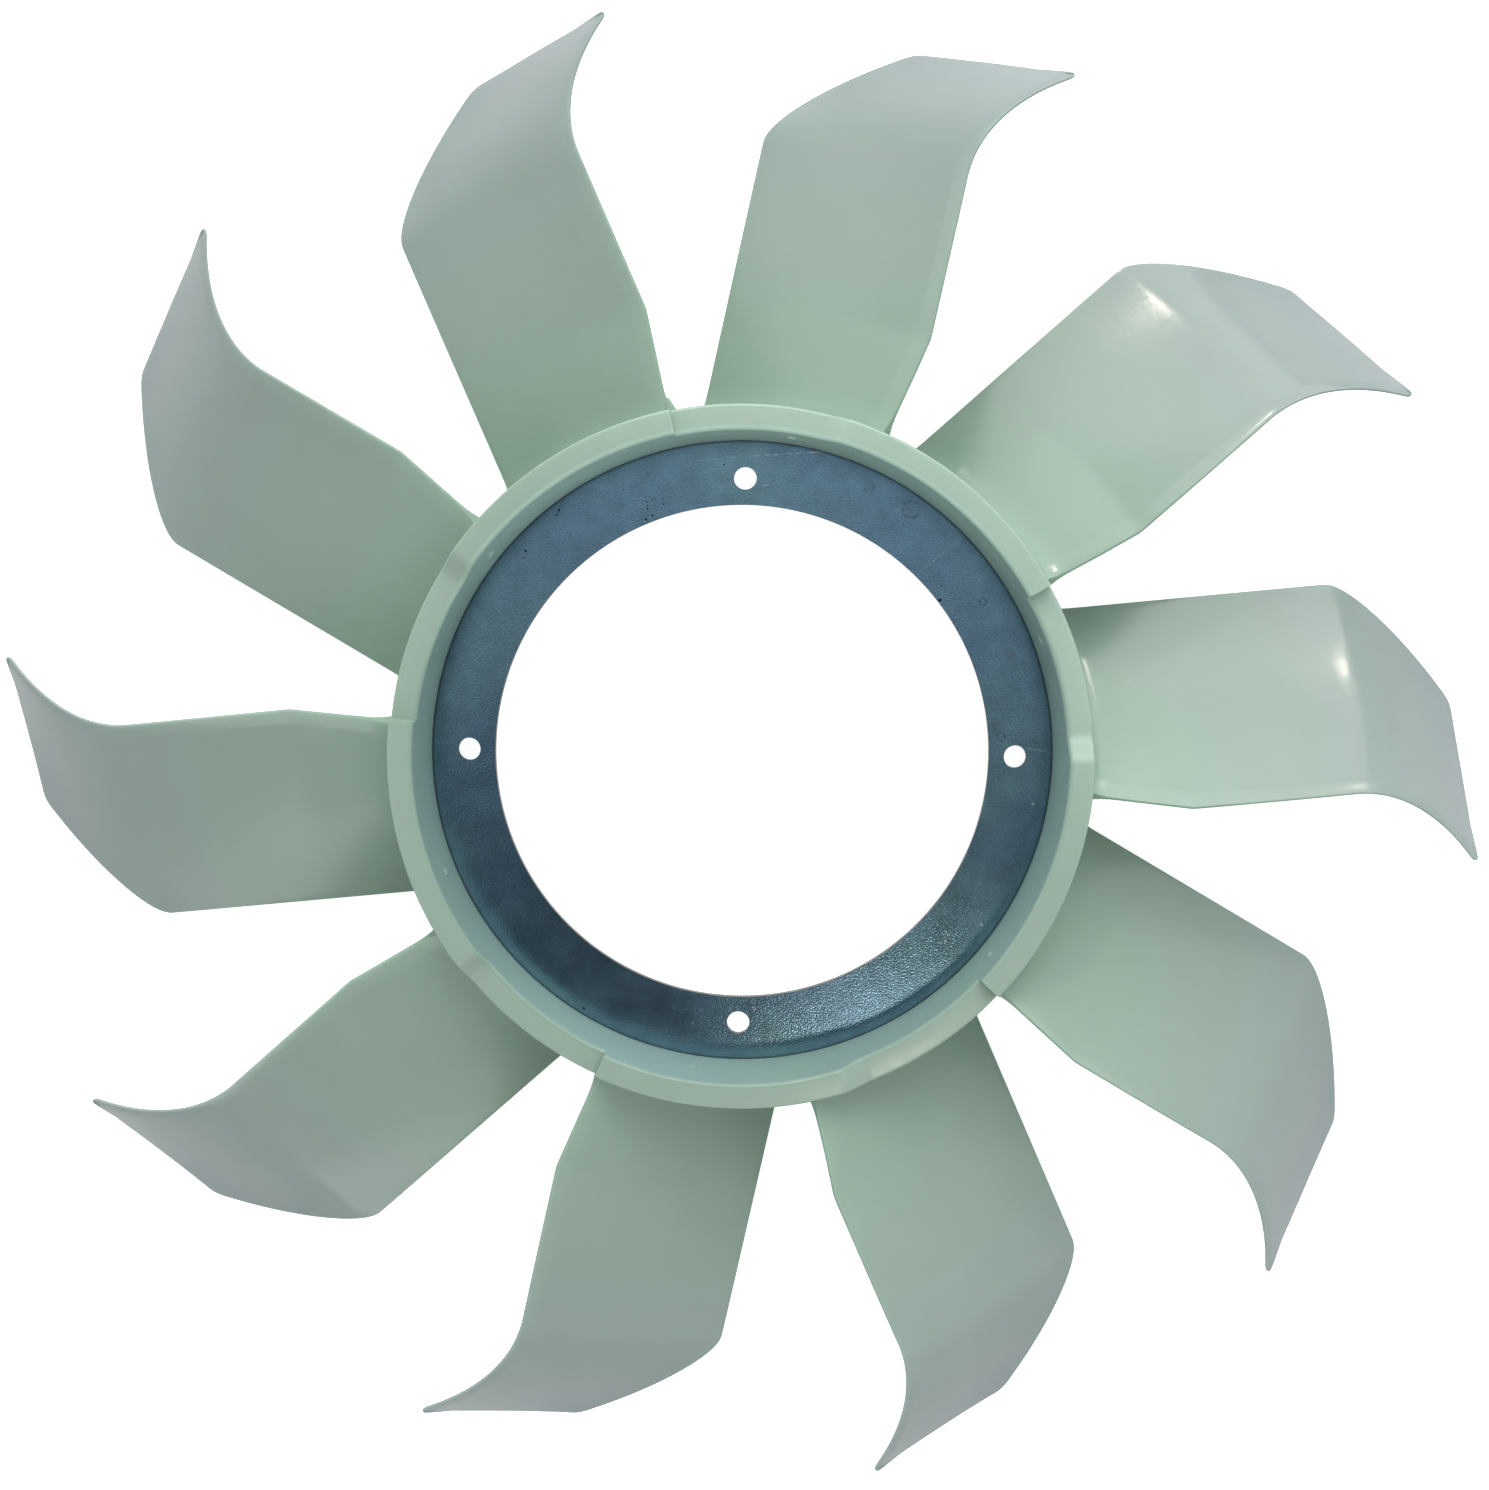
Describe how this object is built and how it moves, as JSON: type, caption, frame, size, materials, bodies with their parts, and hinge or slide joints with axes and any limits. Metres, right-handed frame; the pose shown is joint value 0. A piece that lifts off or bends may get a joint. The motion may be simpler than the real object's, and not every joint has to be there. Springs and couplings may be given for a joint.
{
  "type": "engine cooling fan wheel",
  "caption": "Axial cooling fan wheel: swept plastic blades with eared tips on a hub ring moulded round a flat steel mounting ring with a pilot bore and bolt holes.",
  "frame": {"origin": "centre of the pilot bore on the front face of the steel ring", "axes": "+Z along the fan axis out of the open front of the hub; +X through one bolt hole"},
  "size_m": [0.421, 0.413, 0.041],
  "materials": {
    "nylon": "satin, pale translucent green natural nylon",
    "zinc_steel": "blue-passivated zinc plating on flat rolled steel, lightly scratched"
  },
  "bodies": {
    "root": {"fan_wheel": "nylon", "steel_insert": "zinc_steel"}
  },
  "joints": []
}
